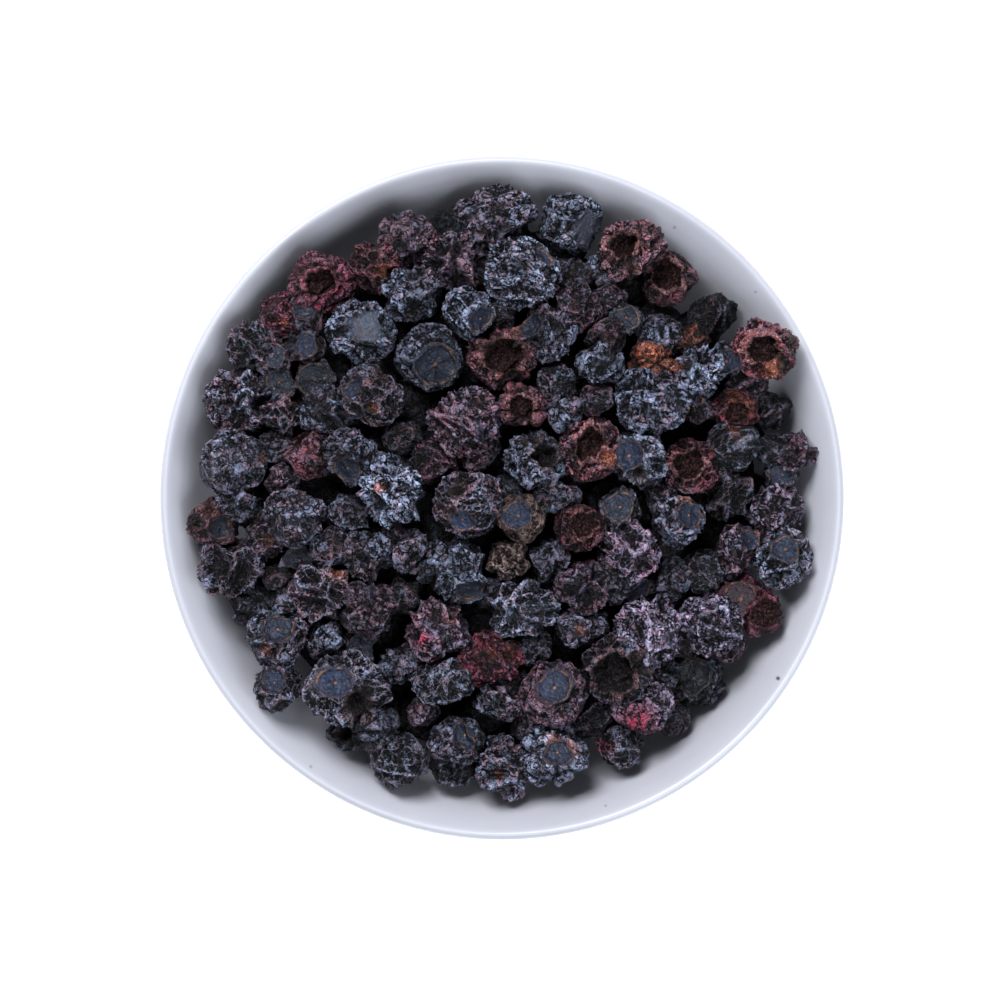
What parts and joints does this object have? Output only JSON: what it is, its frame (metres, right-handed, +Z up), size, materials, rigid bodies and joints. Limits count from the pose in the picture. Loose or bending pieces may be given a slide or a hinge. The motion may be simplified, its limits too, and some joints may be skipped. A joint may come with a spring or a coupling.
{
  "type": "bowl of dried blueberries",
  "caption": "Small round glazed ceramic bowl on a foot ring, heaped to just above its rim with wrinkled dried blueberries.",
  "frame": {"origin": "centre of the foot ring, in the plane that the bowl stands on", "axes": "+Z up out of the bowl; +Y towards the top of the picture and +X towards its right, seen from above"},
  "size_m": [0.084, 0.084, 0.0437],
  "materials": {
    "glaze": "gloss",
    "blue_black_skin": "satin",
    "wine_skin": "satin",
    "rust_skin": "satin",
    "umber_skin": "matte"
  },
  "bodies": {
    "root": {"bowl": "glaze", "berry_heap": "blue_black_skin", "wine_berry_1": "wine_skin", "wine_berry_2": "wine_skin", "wine_berry_3": "wine_skin", "wine_berry_4": "wine_skin", "wine_berry_5": "wine_skin", "wine_berry_6": "wine_skin", "wine_berry_7": "wine_skin", "wine_berry_8": "wine_skin", "wine_berry_9": "wine_skin", "wine_berry_10": "wine_skin", "wine_berry_11": "wine_skin", "rust_berry_1": "rust_skin", "rust_berry_2": "rust_skin", "umber_berry_1": "umber_skin", "umber_berry_2": "umber_skin"}
  },
  "joints": []
}
